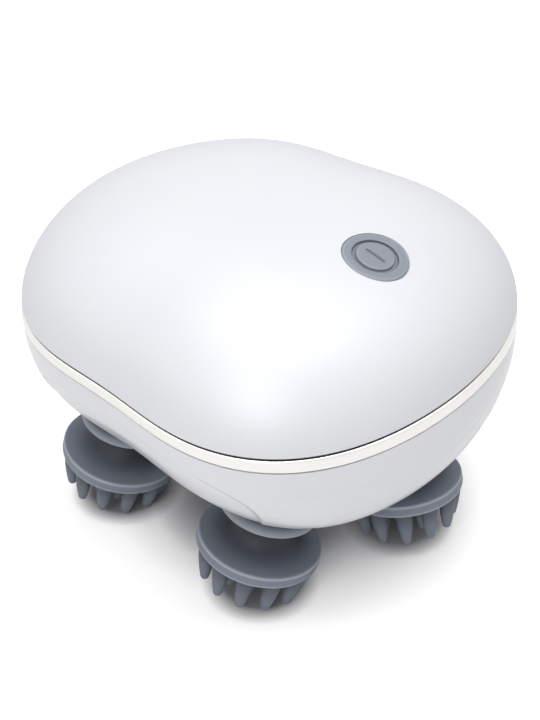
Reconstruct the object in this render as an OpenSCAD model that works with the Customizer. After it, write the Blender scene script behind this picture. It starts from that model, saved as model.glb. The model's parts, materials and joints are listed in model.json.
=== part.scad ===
// Electric scalp massager: a hand-held two-lobed pebble that stands on four kneading heads.
// Millimetres, +Z up. The origin is on the floor under the middle of the body: the finger tips touch
// z = 0, +X points to the lobe that carries the button, and the heads stand in the four corners.

/* [Body] */
// Length of the body along X
body_len = 120; // [116:1:126]
// How much wider the plan is along X than across it
plan_oval = 3.4; // [2.5:0.1:4.5]
// How far the button lobe is narrower than the other one
plan_nose = 1.8; // [0:0.1:2.4]
// How full the four corners of the plan are
plan_corner = 2.4; // [1.8:0.1:3]
// Height of the seam between the cover and the trim band
seam_z = 66.8; // [65:0.2:69]
// Rise of the domed cover above the seam
dome_rise = 27.1; // [25:0.1:32]
// Bottom edge of the lower housing
skirt_z = 35; // [34.8:0.1:35.2]
// Share of the width that the waist scoop takes away at the bottom edge
scoop_depth = 0.3; // [0.25:0.01:0.34]
// Half-width of the waist scoop along X
scoop_half = 54.8; // [50:0.2:57]
// Wall thickness of the shells
wall = 2.2; // [1.8:0.1:2.4]

/* [Trim band] */
// Height of the plated band
band_h = 3.2; // [2.4:0.1:4]
// Height of the dark gasket line above the band
gasket_h = 0.6; // [0.4:0.1:0.8]

/* [Button] */
// Distance of the button from the middle of the drive, along X
button_x = 32.4; // [30:0.2:34]
// Outer radius of the button ring
button_r = 7.8; // [7.2:0.1:8.4]
// Travel of the button cap
button_travel = 0.8; // [0.6:0.1:0.9]

/* [Massage heads] */
// Radius of the lower disc
disc_r = 16; // [15.8:0.1:16]
// Radius of the upper collar
collar_r = 12.6; // [11:0.1:12.8]
// Radius of the neck between them
neck_r = 7; // [6.4:0.1:8]
// Lean of each head from the vertical, in degrees
lean = 12.7; // [12:0.1:12.7]
// Fingers in the outer ring
outer_fingers = 12; // [10:1:13]
// Fingers in the inner ring
inner_fingers = 8; // [6:1:9]
// Radius of the outer ring of finger tips
finger_ring_r = 12.3; // [12:0.1:12.6]
// Radius of the outer ring of fingers where they leave the disc
finger_root_r = 12.9; // [12.6:0.1:13]
// Length of a finger below the disc
finger_len = 10.4; // [10:0.1:10.6]

/* [Drive] */
// Teeth of the wheels that join two heads into a pair
pair_teeth = 36; // [36:1:36]
// Teeth of the wheels that the centre gear drives
head_teeth = 34; // [34:1:34]
// Teeth of the small wheel of the centre gear
sun_teeth = 27; // [27:1:27]
// Teeth of the large wheel of the centre gear
wheel_teeth = 40; // [40:1:40]
// Teeth of the pinion
pinion_teeth = 12; // [12:1:12]

/* [Hidden] */

eps = 0.01;

// ---- plan of the body: a rounded rectangle written as a few cosines ----
plan_steps = 80;
plan_end = 0.5; // keeps the two ends of the plan round
plan_mean = body_len / 2 - plan_oval + plan_corner - plan_end;
drive_x = plan_nose; // the narrower lobe moves the middle of the drive off the middle of the box

function plan_r(t) = plan_mean + plan_oval * cos(2 * t) - plan_nose * cos(3 * t)
    - plan_corner * cos(4 * t) + plan_end * cos(6 * t);

// ---- dome: a flattened cap, full near the rim ----
dome_fullness = 3.27;
dome_power = 0.58;
dome_rings = 11;

function dome_z(q) = seam_z + dome_rise * pow(max(0, 1 - pow(q, dome_fullness)), dome_power);

// ---- lower housing: the wall bulges a little at the ends and is scooped in at the two waists ----
wall_rings = 8;
housing_drop = seam_z - skirt_z;
end_bulge = 0.116;
edge_round = 0.054;
edge_sharp = 9.2;
scoop_curve = 2.53;
scoop_shape = 2.72;

function scoop(x) = scoop_depth * exp(-pow(abs(x) / scoop_half, scoop_shape));
function wall_scale(t, u) = 1 - edge_round * pow(u, edge_sharp)
    - scoop(plan_r(t) * cos(t)) * pow(u, scoop_curve);
function wall_point(t, z, inset) =
    let (u = max(0, (seam_z - z) / housing_drop), r = plan_r(t) * wall_scale(t, u) - inset)
    [drive_x + r * cos(t) * (1 + end_bulge * u * (1 - u)), r * sin(t), z];
function wall_ring(z, inset) = [for (i = [0:plan_steps - 1]) wall_point(i * 360 / plan_steps, z, inset)];
function wall_outline(z, inset) = [for (p = wall_ring(z, inset)) [p[0], p[1]]];
function raised_ring(outline_z, inset, z) = [for (p = wall_ring(outline_z, inset)) [p[0], p[1], z]];

function dome_ring(shrink, phi) =
    let (q = pow(sin(phi), 2 / dome_fullness),
        rise = (dome_rise - shrink) * pow(cos(phi), 2 * dome_power))
    [for (i = [0:plan_steps - 1])
        let (t = i * 360 / plan_steps, r = (plan_r(t) - shrink) * q)
        [drive_x + r * cos(t), r * sin(t), cover_z + rise]];

// Closed solid from a list of rings. A solid with poles ends in a fan at each end, and one without
// joins its last ring to its first.
module ring_solid(rings, poles = []) {
    n = len(rings[0]);
    count = len(rings);
    bands = len(poles) == 2 ? count - 1 : count;
    points = concat([for (ring = rings) for (p = ring) p], poles);
    sides = [for (k = [0:bands - 1]) for (i = [0:n - 1])
        let (low = k * n, high = ((k + 1) % count) * n, j = (i + 1) % n,
            a = low + i, b = low + j, c = high + i, d = high + j)
        each [[a, b, c], [b, d, c]]];
    last = (count - 1) * n;
    caps = len(poles) == 2 ? [for (i = [0:n - 1])
        let (j = (i + 1) % n)
        each [[count * n, j, i], [count * n + 1, last + i, last + j]]] : [];
    polyhedron(points = points, faces = concat(sides, caps), convexity = 6);
}

// ---- levels of the stack, from the seam down ----
cover_z = seam_z + 0.1;
gasket_z = cover_z - gasket_h;
band_z = gasket_z - band_h;
step_h = 0.25; // thin shadow line under the band
cover_floor_t = 2.4;
floor_rise = 1.6; // how far the base cover lies above the bottom edge
cover_floor_z = skirt_z + floor_rise;
flange_z = cover_floor_z + cover_floor_t;
flange_t = 1.4;
skirt_t = 1.6;
floor_gap = 0.25;
flange_lap = 2;

// ---- gears ----
module_mm = 1;
pressure = 20;
addendum = 0.8;
dedendum = 1.05;
tooth_share = 0.46; // tooth thickness over pitch, the rest is backlash
pitch_r = function (teeth) teeth * module_mm / 2;
hub_r = pitch_r(head_teeth) + pitch_r(sun_teeth);
hub_y = pitch_r(pair_teeth);
hub_x = sqrt(hub_r * hub_r - hub_y * hub_y);
pinion_x = -(pitch_r(wheel_teeth) + pitch_r(pinion_teeth));

function involute(a) = tan(a) * 180 / PI - a;
function flank_angle(teeth, r) =
    let (base = pitch_r(teeth) * cos(pressure), a = r > base ? acos(base / r) : 0)
    tooth_share * 180 / teeth + involute(pressure) - involute(a);
flank_steps = 3;

// One wheel with a tooth centred on the angle `phase`
module toothed_wheel(teeth, thick, phase = 0) {
    root = pitch_r(teeth) - dedendum * module_mm;
    tip = pitch_r(teeth) + addendum * module_mm;
    radii = [for (k = [0:flank_steps]) root + (tip - root) * k / flank_steps];
    outline = [for (i = [0:teeth - 1]) for (side = [-1, 1]) for (k = [0:flank_steps])
        let (r = radii[side < 0 ? k : flank_steps - k],
            a = phase + i * 360 / teeth + side * flank_angle(teeth, r))
        r * [cos(a), sin(a)]];
    linear_extrude(thick)
        polygon(outline);
}

// Phase that puts a gap of the driven wheel in front of a tooth of the driving one, seen along `angle`
function mesh_phase(driver_teeth, driver_phase, teeth, angle) =
    let (f = (angle - driver_phase) * driver_teeth / 360)
    angle + 180 - (0.5 - (f - floor(f))) * 360 / teeth;

pair_z = 43.5;
pair_t = 2.8;
head_gear_z = 46.5;
head_gear_t = 3;
sun_z = 46.7;
sun_t = 2.9;
wheel_z = 50;
wheel_t = 3.6;
plate_z = 55;
plate_t = 2.5;
plate_top = plate_z + plate_t;
running_fit = 0.05;

// ---- head stations: name, side along X, side along Y, direction of the lean, turn of the fingers ----
STATIONS = [["front", 1, -1, -124, 2], ["left", -1, -1, -148, -4], ["right", 1, 1, -8, 15],
    ["rear", -1, 1, -32, 0]];
function station(name) = [for (s = STATIONS) if (s[0] == name) s][0];
function hub_pos(s) = [drive_x + s[1] * hub_x, s[2] * hub_y, 0];

// Distances along a head's own axis, downwards from the point where it crosses the shaft
disc_low = 42;
disc_t = 3.4;
collar_low = disc_low - 13.3;
collar_top = collar_low - 7.9;
boss_top = collar_top - 1.4;
boss_r = 5.5;
core_r = 4.4;
core_end = disc_low - 2;
pin_r = 2.5;
pin_top = 6;
pin_end = core_end - 3.3;
finger_base_r = 2.1;
finger_bite = 0.4; // how far a finger runs into its pad
pad_r = disc_r - 0.8;
pad_t = 1.2;
finger_tip_r = 1.2;
inner_ring_r = 6.9;
tip_low = disc_low + finger_len;
finger_splay = atan((finger_root_r - finger_ring_r) / (finger_len - finger_tip_r));
pivot_z = (tip_low - finger_tip_r) * cos(lean) + finger_ring_r * sin(lean) + finger_tip_r;

// Without a turn, one finger of the outer ring stands on the shaft's side of its head and meets the floor
module head_axis(s) {
    translate(hub_pos(s) + [0, 0, pivot_z])
        rotate([0, 0, s[3]])
            rotate([0, -lean, 0])
                children();
}

// ---- shells ----
module top_cover() {
    phis = [for (i = [1:dome_rings]) 90 * pow(i / dome_rings, 0.9)];
    outer = [for (phi = phis) dome_ring(0, min(phi, 90))];
    inner = [for (i = [dome_rings - 1:-1:0]) dome_ring(wall, min(phis[i], 90))];
    color("#e8eaf0")
        difference() {
            union() {
                ring_solid(concat(outer, inner),
                    [[drive_x, 0, cover_z + dome_rise], [drive_x, 0, cover_z + dome_rise - wall]]);
                at_button()
                    for (p = board_holes)
                        translate([p[0], p[1], board_low + board_t])
                            cylinder(r = board_boss_r, h = boss_reach - board_low - board_t, $fn = 32);
            }
            at_button() {
                translate([0, 0, -6])
                    cylinder(r = button_r + button_gap, h = 12, $fn = 96);
                for (p = board_holes)
                    translate([p[0], p[1], board_low])
                        cylinder(r = board_screw_r, h = board_screw_len, $fn = 24);
            }
        }
}

module cover_gasket() {
    color("#15161a")
        ring_solid([wall_ring(cover_z, 0.7), wall_ring(gasket_z, 0.7),
            wall_ring(gasket_z, wall), wall_ring(cover_z, wall)]);
}

module trim_band() {
    proud = 0.12;
    edge = 0.35;
    color("#dcdad6")
        ring_solid([wall_ring(gasket_z, proud), wall_ring(gasket_z - edge, -proud),
            wall_ring(band_z + edge, -proud), wall_ring(band_z, proud),
            wall_ring(band_z, wall), wall_ring(gasket_z, wall)]);
}

port_z = 52.2;
port_w = 13;
port_h = 7;
port_x = wall_point(180, port_z, 0)[0];

module stadium(w, h, thick) {
    linear_extrude(thick) {
        square([w - h, h], center = true);
        for (s = [-1, 1])
            translate([s * (w - h) / 2, 0])
                circle(d = h, $fn = 48);
    }
}

// Local +Z of the children points out of the end wall, along -X
module at_port() {
    translate([port_x, 0, port_z])
        rotate([0, -90, 0])
            rotate([0, 0, -90])
                children();
}

// Blocks in the four corners of the wall, which the gear plate rests on
bracket_angles = [46, 134, 226, 314];
bracket_t = 4.4;
bracket_w = 9;
bracket_r = 50;
bracket_bite = 1; // how deep under the outer surface a block ends, inside the wall

module wall_bracket(angle) {
    end = wall_point(angle, plate_z - bracket_t, bracket_bite);
    translate([drive_x, 0, plate_z - bracket_t])
        rotate([0, 0, angle])
            translate([bracket_r, -bracket_w / 2, 0])
                cube([norm([end[0] - drive_x, end[1]]) - bracket_r, bracket_w, bracket_t]);
}

module lower_housing() {
    top = band_z - step_h;
    outer = [for (i = [0:wall_rings])
        let (z = top + (skirt_z - top) * pow(i / wall_rings, 0.85)) wall_ring(z, 0.15)];
    inner_low = flange_z + flange_t;
    inner = [for (i = [0:wall_rings - 1])
        let (z = inner_low + (band_z - inner_low) * pow(i / (wall_rings - 1), 1.1)) wall_ring(z, wall)];
    color("#e4e5ea")
        difference() {
            union() {
                ring_solid(concat(
                    [raised_ring(band_z, 1, top)],
                    outer,
                    [raised_ring(skirt_z, skirt_t, skirt_z), raised_ring(skirt_z, skirt_t, flange_z),
                        raised_ring(skirt_z, skirt_t + flange_lap, flange_z),
                        raised_ring(skirt_z, skirt_t + flange_lap, inner_low)],
                    inner,
                    [raised_ring(band_z, 1, band_z)]));
                for (angle = bracket_angles)
                    wall_bracket(angle);
            }
            for (s = STATIONS)
                translate(hub_pos(s) + [0, 0, flange_z - 1])
                    cylinder(r = hub_boss_r + floor_gap, h = flange_t + 2, $fn = 64);
            at_port()
                translate([0, 0, -8])
                    stadium(port_w, port_h, 12);
        }
}

post_r = 2.8;
posts = [for (sx = [-1, 1]) for (sy = [-1, 1]) [sx * 42.9, sy * 5]];
screw_r = 1.1;
screw_head_r = 2.3;
screw_head_t = 1.5;
hub_boss_r = 9.2;
seat_r = 8;
journal_r = 6.5;
boss_head_z = pair_z - 0.3;
axle_r = 1.5;
axle_boss_r = 4;
rest_pad_r = 8; // flat pad in the middle of the underside, which a stand bears on

module base_cover() {
    color("#d9dbe1")
        difference() {
            union() {
                translate([0, 0, cover_floor_z])
                    linear_extrude(cover_floor_t)
                        polygon(wall_outline(skirt_z, skirt_t + floor_gap));
                for (s = STATIONS)
                    translate(hub_pos(s) + [0, 0, cover_floor_z])
                        cylinder(r = hub_boss_r, h = boss_head_z - cover_floor_z, $fn = 64);
                translate([drive_x, 0, cover_floor_z])
                    cylinder(r = axle_boss_r, h = boss_head_z - cover_floor_z, $fn = 48);
                translate([drive_x, 0, skirt_z])
                    cylinder(r = rest_pad_r, h = cover_floor_z - skirt_z + 1, $fn = 64);
            }
            for (s = STATIONS)
                translate(hub_pos(s) + [0, 0, cover_floor_z - 1])
                    cylinder(r = seat_r, h = boss_head_z, $fn = 64);
            translate([drive_x, 0, cover_floor_z + 1.4])
                cylinder(r = axle_r, h = boss_head_z, $fn = 32);
            for (p = posts)
                translate([drive_x + p[0], p[1], cover_floor_z - 1]) {
                    cylinder(r = screw_r + 0.1, h = 6, $fn = 24);
                    cylinder(r = screw_head_r + 0.1, h = 1 + screw_head_t, $fn = 32);
                }
        }
}

module base_screws() {
    color("#9aa0a6")
        for (p = posts)
            translate([drive_x + p[0], p[1], cover_floor_z])
                pan_screw(screw_r, 10, screw_head_r, screw_head_t);
}

// A screw whose head's outer face is at z = 0 and whose shank points up, with a cross recess
module pan_screw(r, len, head_r, head_t) {
    difference() {
        union() {
            cylinder(r = head_r, h = head_t, $fn = 32);
            cylinder(r = r, h = len, $fn = 24);
        }
        for (a = [0, 90])
            rotate([0, 0, a])
                translate([-head_r * 0.6, -0.3, -eps])
                    cube([head_r * 1.2, 0.6, head_t * 0.6]);
    }
}

module shaft_seals() {
    color("#3b3f45")
        for (s = STATIONS)
            translate(hub_pos(s) + [0, 0, cover_floor_z + 0.2])
                difference() {
                    cylinder(r = seat_r, h = 1.4, $fn = 64);
                    translate([0, 0, -1])
                        cylinder(r = journal_r + 0.3, h = 4, $fn = 64);
                }
}

module shaft_bushes() {
    bush_z = cover_floor_z + 1.8;
    color("#c9a15a")
        for (s = STATIONS)
            translate(hub_pos(s) + [0, 0, bush_z])
                difference() {
                    cylinder(r = seat_r, h = boss_head_z - bush_z, $fn = 64);
                    translate([0, 0, -1])
                        cylinder(r = journal_r + running_fit, h = 10, $fn = 64);
                }
}

// ---- gear train ----
spindle_r = 3;

module gear_plate() {
    color("#c8ccd2")
        difference() {
            union() {
                translate([0, 0, plate_z])
                    linear_extrude(plate_t)
                        polygon(wall_outline(plate_z, wall + 0.4));
                for (p = posts)
                    translate([drive_x + p[0], p[1], flange_z])
                        cylinder(r = post_r, h = plate_z - flange_z + 1, $fn = 40);
            }
            for (s = STATIONS)
                translate(hub_pos(s) + [0, 0, plate_z - 1])
                    cylinder(r = spindle_r + running_fit, h = plate_t + 2, $fn = 48);
            translate([drive_x, 0, plate_z - 1])
                cylinder(r = axle_r, h = plate_t + 2, $fn = 32);
            translate([drive_x + pinion_x, 0, plate_z - 1])
                cylinder(r = gearhead_nose_r, h = plate_t + 2, $fn = 48);
            for (p = posts)
                translate([drive_x + p[0], p[1], flange_z - 1])
                    cylinder(r = screw_r, h = 9.2, $fn = 24);
            for (s = [-1, 1])
                translate([drive_x + pinion_x, s * motor_screw_y, plate_z - 1])
                    cylinder(r = motor_screw_r + 0.1, h = plate_t + 2, $fn = 24);
        }
}

module centre_axle() {
    color("#b9bcc1")
        translate([drive_x, 0, cover_floor_z + 1.4])
            cylinder(r = axle_r, h = plate_top - cover_floor_z - 1.4, $fn = 32);
}

module centre_gear() {
    color("#e6e2d6")
        translate([drive_x, 0, 0])
            difference() {
                union() {
                    translate([0, 0, sun_z])
                        toothed_wheel(sun_teeth, sun_t);
                    translate([0, 0, wheel_z])
                        toothed_wheel(wheel_teeth, wheel_t);
                    translate([0, 0, pair_z])
                        cylinder(r = 4.5, h = plate_z - 0.4 - pair_z, $fn = 48);
                }
                translate([0, 0, pair_z - 1])
                    cylinder(r = axle_r + running_fit, h = 20, $fn = 32);
                translate([0, 0, wheel_z + wheel_t - 1.2])
                    difference() {
                        cylinder(r = pitch_r(wheel_teeth) - 3, h = 3, $fn = 80);
                        translate([0, 0, -1])
                            cylinder(r = 7, h = 5, $fn = 48);
                    }
            }
}

shaft_r = 1.5;

module drive_pinion() {
    color("#d0b36a")
        translate([drive_x + pinion_x, 0, 0]) {
            translate([0, 0, wheel_z + 0.2])
                toothed_wheel(pinion_teeth, 3.8, mesh_phase(wheel_teeth, 0, pinion_teeth, 180));
            translate([0, 0, wheel_z + 0.2])
                cylinder(r = shaft_r, h = 13, $fn = 32);
        }
}

// The near side's two heads are driven by the centre gear, and each passes its turn on to the head
// across from it, which turns the other way
module head_gear(name) {
    s = station(name);
    driven = s[2] < 0;
    angle = atan2(s[2] * hub_y, s[1] * hub_x);
    pair_phase = driven ? 0 : mesh_phase(pair_teeth, 0, pair_teeth, 90);
    head_phase = mesh_phase(sun_teeth, 0, head_teeth, angle);
    color("#e6e2d6")
        difference() {
            translate(hub_pos(s)) {
                translate([0, 0, pair_z])
                    toothed_wheel(pair_teeth, pair_t, pair_phase);
                if (driven)
                    translate([0, 0, head_gear_z])
                        toothed_wheel(head_teeth, head_gear_t, head_phase);
                translate([0, 0, journal_z])
                    cylinder(r = journal_r, h = head_gear_z + head_gear_t - journal_z, $fn = 64);
                translate([0, 0, head_gear_z])
                    cylinder(r = spindle_r, h = plate_top - 0.3 - head_gear_z, $fn = 48);
            }
            head_axis(s)
                translate([0, 0, -pin_end])
                    cylinder(r = pin_r, h = pin_end - pin_top, $fn = 48);
        }
}

journal_z = cover_floor_z + 0.6;

module crank_pin(name) {
    color("#c4c7cc")
        head_axis(station(name))
            translate([0, 0, -pin_end])
                cylinder(r = pin_r, h = pin_end - pin_top, $fn = 48);
}

module head_core(name) {
    color("#4a505a")
        head_axis(station(name))
            difference() {
                translate([0, 0, -core_end])
                    cylinder(r = core_r, h = core_end - boss_top, $fn = 48);
                translate([0, 0, -pin_end])
                    cylinder(r = pin_r, h = pin_end, $fn = 48);
            }
}

// Half section of a head: trumpet-shaped neck between the broad disc and the collar, radius then height
curve_steps = 7;
neck_low = disc_low - 9.6;
rim_round = 0.7;
disc_curve = disc_r - 1.1 - neck_r; // reach of the neck's curve over the disc
collar_curve = collar_r - 0.4 - neck_r; // reach of the neck's curve under the collar
function head_profile() =
    let (rim_top = disc_low - disc_t)
    concat(
        [[0, -disc_low], [disc_r - rim_round * 1.4, -disc_low], [disc_r - 0.2, -disc_low + rim_round],
            [disc_r, -disc_low + 2 * rim_round], [disc_r - 0.1, -rim_top - rim_round],
            [disc_r - 0.5, -rim_top - 0.15]],
        [for (k = [curve_steps:-1:0])
            let (a = 90 * k / curve_steps)
            [neck_r + disc_curve * (1 - cos(a)), -neck_low - (rim_top - neck_low) * sin(a)]],
        [for (k = [1:curve_steps])
            let (a = 90 * k / curve_steps)
            [neck_r + collar_curve * (1 - cos(a)), -neck_low + (neck_low - collar_low) * sin(a)]],
        [[collar_r, -collar_low + 0.4], [collar_r - 0.3, -collar_low + 3.4],
            [collar_r - 3.2, -collar_top - 0.7], [collar_r - 4, -collar_top],
            [boss_r, -collar_top], [boss_r, -boss_top], [0, -boss_top]]);

// One finger with its tip under the radius r, splayed outwards by the angle
module finger(r = 0, splay = 0) {
    reach = finger_len - finger_tip_r + finger_bite;
    translate([r, 0, finger_tip_r - tip_low])
        rotate([0, splay, 0]) {
            cylinder(r1 = finger_tip_r, r2 = finger_base_r, h = reach, $fn = 24);
            sphere(r = finger_tip_r, $fn = 24);
        }
}

module massage_head(name) {
    color("#69717d")
        head_axis(station(name))
            difference() {
                rotate_extrude($fn = 96)
                    polygon(head_profile());
                translate([0, 0, -core_end])
                    cylinder(r = core_r, h = core_end, $fn = 48);
                translate([0, 0, -disc_low - 1])
                    cylinder(r = pad_r, h = pad_t + 1, $fn = 96);
            }
}

// The soft pad with the fingers, let into the underside of the disc
module finger_pad(name) {
    color("#626a76")
        head_axis(station(name)) rotate([0, 0, station(name)[4]]) {
            translate([0, 0, -disc_low])
                cylinder(r = pad_r, h = pad_t, $fn = 96);
            for (i = [0:outer_fingers - 1])
                rotate([0, 0, 180 + i * 360 / outer_fingers])
                    finger(finger_ring_r, finger_splay);
            for (i = [0:inner_fingers - 1])
                rotate([0, 0, (i + 0.5) * 360 / inner_fingers])
                    finger(inner_ring_r);
            finger();
        }
}

// ---- motor ----
motor_r = 12;
gearhead_t = 9.5;
motor_t = 19;
gearhead_nose_r = 5;
motor_screw_y = 9.6;
motor_screw_r = 1;

module motor_gearhead() {
    color("#a9adb3")
        translate([drive_x + pinion_x, 0, 0])
            difference() {
                union() {
                    translate([0, 0, plate_top])
                        cylinder(r = motor_r, h = gearhead_t, $fn = 64);
                    translate([0, 0, plate_z])
                        cylinder(r = gearhead_nose_r, h = plate_t + 1, $fn = 48);
                }
                translate([0, 0, plate_z - 1])
                    cylinder(r = shaft_r + running_fit, h = 10, $fn = 32);
                for (s = [-1, 1])
                    translate([0, s * motor_screw_y, plate_top - 1])
                        cylinder(r = motor_screw_r, h = 4.2, $fn = 24);
            }
}

module motor_can() {
    color("#b6b9be")
        translate([drive_x + pinion_x, 0, plate_top + gearhead_t]) {
            cylinder(r = motor_r - 0.4, h = motor_t - 1, $fn = 64);
            cylinder(r = 4, h = motor_t, $fn = 32);
            for (s = [-1, 1])
                translate([s * 6.5 - 0.4, -1, 0])
                    cube([0.8, 2, motor_t + 0.6]);
        }
}

module motor_screws() {
    color("#8d9298")
        for (s = [-1, 1])
            translate([drive_x + pinion_x, s * motor_screw_y, plate_z - 1.1])
                pan_screw(motor_screw_r, 6, 1.7, 1.1);
}

// ---- battery ----
cell_r = 9;
cell_len = 50;
cell_x = 16;
cell_z = plate_top + 1.2 + cell_r;

module battery_cradle() {
    color("#3f444c")
        translate([drive_x + cell_x, 0, plate_top])
            difference() {
                translate([-8, -cell_len / 2 - 1.6, 0])
                    cube([16, cell_len + 3.2, 9]);
                translate([0, cell_len / 2 + 0.1, 1.2 + cell_r])
                    rotate([90, 0, 0])
                        cylinder(r = cell_r, h = cell_len + 0.2, $fn = 64);
            }
}

module battery_cell() {
    color("#3f7fae")
        translate([drive_x + cell_x, cell_len / 2 - 0.8, cell_z])
            rotate([90, 0, 0]) {
                cylinder(r = cell_r, h = cell_len - 0.8, $fn = 64);
                translate([0, 0, -0.8])
                    cylinder(r = 3, h = 1, $fn = 32);
            }
}

// ---- button, on the slope of the dome ----
button_q = button_x / plan_r(0);
button_lean = atan((dome_z(button_q - 0.01) - dome_z(button_q + 0.01)) / (0.02 * plan_r(0)));
button_gap = 0.25;
ring_inner = button_r * 0.7;
cap_r = button_r * 0.58;
ring_t = 4.2;
ring_flange_r = button_r + 1.4;
ring_flange_t = 0.9;
cap_t = 1.6;
membrane_low = -1.7;
bar_len = 5.4;
bar_w = 0.8;
board_low = -11;
board_t = 1.2;
board_half = 12;
board_holes = [for (sx = [-1, 1]) for (sy = [-1, 1]) [sx * 9.6, sy * 9.6]];
board_boss_r = 1.9;
board_screw_r = 0.8;
board_screw_len = 5;
boss_reach = -2.4;
switch_h = 3.4;
plunger_r = 1.5;
plunger_top = board_low + board_t + switch_h + 1.1;

module at_button() {
    translate([drive_x + button_x, 0, dome_z(button_q) + 0.1])
        rotate([0, button_lean, 0])
            children();
}

module button_ring() {
    color("#8b929e")
        at_button()
            rotate_extrude($fn = 96)
                polygon([[cap_r + button_gap, membrane_low], [ring_inner + 0.2, membrane_low - 0.4],
                    [ring_inner + 0.2, -ring_t], [ring_flange_r, -ring_t],
                    [ring_flange_r, ring_flange_t - ring_t], [button_r, ring_flange_t - ring_t],
                    [button_r, -0.55], [button_r - 0.35, -0.25], [ring_inner + 0.25, 0.1],
                    [ring_inner, -0.1], [ring_inner, membrane_low + 0.4],
                    [cap_r + button_gap, membrane_low + 0.4]]);
}

module button_cap() {
    color("#8b929e")
        at_button()
            difference() {
                union() {
                    rotate_extrude($fn = 96)
                        polygon([[0, -cap_t], [cap_r, -cap_t], [cap_r, -0.15], [cap_r - 0.25, 0.1],
                            [0, 0.2]]);
                    translate([0, 0, plunger_top])
                        cylinder(r = 1.9, h = -cap_t - plunger_top + 0.1, $fn = 32);
                }
                translate([-(bar_len - bar_w) / 2, 0, -0.3])
                    linear_extrude(1) {
                        translate([0, -bar_w / 2])
                            square([bar_len - bar_w, bar_w]);
                        for (x = [0, bar_len - bar_w])
                            translate([x, 0])
                                circle(d = bar_w, $fn = 24);
                    }
            }
}

module circuit_board() {
    color("#2f6b4a")
        at_button()
            difference() {
                translate([-board_half, -board_half, board_low])
                    cube([2 * board_half, 2 * board_half, board_t]);
                for (p = board_holes)
                    translate([p[0], p[1], board_low - 1])
                        cylinder(r = board_screw_r + 0.15, h = 4, $fn = 24);
            }
}

module board_screws() {
    color("#9aa0a6")
        at_button()
            for (p = board_holes)
                translate([p[0], p[1], board_low - 0.9])
                    pan_screw(board_screw_r, board_screw_len + 0.8, 1.6, 0.9);
}

module switch_body() {
    color("#33363b")
        at_button()
            difference() {
                translate([-3, -3, board_low + board_t])
                    cube([6, 6, switch_h]);
                translate([0, 0, board_low + board_t + switch_h - 1.8])
                    cylinder(r = plunger_r + running_fit, h = 3, $fn = 32);
            }
}

module switch_plunger() {
    low = board_low + board_t + switch_h - 0.9;
    color("#e9e9e6")
        at_button()
            translate([0, 0, low])
                cylinder(r = plunger_r, h = plunger_top - low, $fn = 32);
}

// ---- charging socket in the end wall ----
socket_w = 9;
socket_h = 3.2;
socket_len = 7.4;
socket_mouth = -2.6; // local height of the socket's mouth, inside the wall

module charge_board() {
    color("#2f6b4a")
        at_port()
            translate([-7, socket_h / 2, socket_mouth - 12])
                cube([14, plate_z - port_z - socket_h / 2, 11.4]);
}

module charge_socket() {
    color("#c3c6cb")
        at_port()
            translate([0, 0, socket_mouth - socket_len])
                difference() {
                    stadium(socket_w, socket_h, socket_len);
                    translate([0, 0, 1.4])
                        stadium(socket_w - 0.7, socket_h - 0.7, socket_len);
                }
}

module charge_plug() {
    color("#8b929e")
        at_port() {
            translate([0, 0, socket_mouth + 0.4])
                stadium(port_w - 0.5, port_h - 0.5, 2);
            translate([0, 0, socket_mouth - 2.6])
                stadium(socket_w - 1.1, socket_h - 1.1, 3.1);
        }
}

top_cover();
cover_gasket();
trim_band();
lower_housing();
base_cover();
base_screws();
shaft_seals();
shaft_bushes();
gear_plate();
centre_axle();
centre_gear();
drive_pinion();
motor_gearhead();
motor_can();
motor_screws();
battery_cradle();
battery_cell();
circuit_board();
board_screws();
switch_body();
switch_plunger();
button_ring();
button_cap();
charge_board();
charge_socket();
charge_plug();
massage_head("front");  // head_front
massage_head("left");  // head_left
massage_head("right");  // head_right
massage_head("rear");  // head_rear
finger_pad("front");  // finger_pad_front
head_core("front");  // head_core_front
finger_pad("left");  // finger_pad_left
head_core("left");  // head_core_left
finger_pad("right");  // finger_pad_right
head_core("right");  // head_core_right
finger_pad("rear");  // finger_pad_rear
head_core("rear");  // head_core_rear
crank_pin("front");  // crank_pin_front
crank_pin("left");  // crank_pin_left
crank_pin("right");  // crank_pin_right
crank_pin("rear");  // crank_pin_rear
head_gear("front");  // head_gear_front
head_gear("left");  // head_gear_left
head_gear("right");  // head_gear_right
head_gear("rear");  // head_gear_rear
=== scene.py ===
# %% [markdown]
# # An electric scalp massager
# A pebble-shaped hand-held appliance: a domed pearl cover, a dark seam, a plated band, a glossy lower
# housing and four leaning silicone heads that stand on the floor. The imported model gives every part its
# place. This lesson dresses it: smooth shells in place of the faceted ones, soft fingers, and a finish for
# each part, inside ones too.

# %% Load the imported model
import json
import math

import bmesh
import bpy
import numpy as np
from mathutils import Matrix, Vector


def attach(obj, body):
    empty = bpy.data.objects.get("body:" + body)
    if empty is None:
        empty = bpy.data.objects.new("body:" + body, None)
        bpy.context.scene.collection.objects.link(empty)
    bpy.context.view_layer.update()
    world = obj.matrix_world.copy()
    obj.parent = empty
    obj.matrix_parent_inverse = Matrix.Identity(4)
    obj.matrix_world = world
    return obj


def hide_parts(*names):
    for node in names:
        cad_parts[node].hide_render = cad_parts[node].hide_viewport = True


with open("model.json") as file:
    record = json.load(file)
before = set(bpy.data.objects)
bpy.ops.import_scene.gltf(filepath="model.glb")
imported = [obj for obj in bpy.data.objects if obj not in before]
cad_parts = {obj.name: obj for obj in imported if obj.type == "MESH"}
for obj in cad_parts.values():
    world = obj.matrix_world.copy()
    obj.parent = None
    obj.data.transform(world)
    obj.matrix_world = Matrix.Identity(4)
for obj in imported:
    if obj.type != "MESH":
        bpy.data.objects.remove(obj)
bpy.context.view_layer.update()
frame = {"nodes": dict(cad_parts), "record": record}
MM = 0.001
print("nodes in the packed model:", len(frame["nodes"]))

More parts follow.
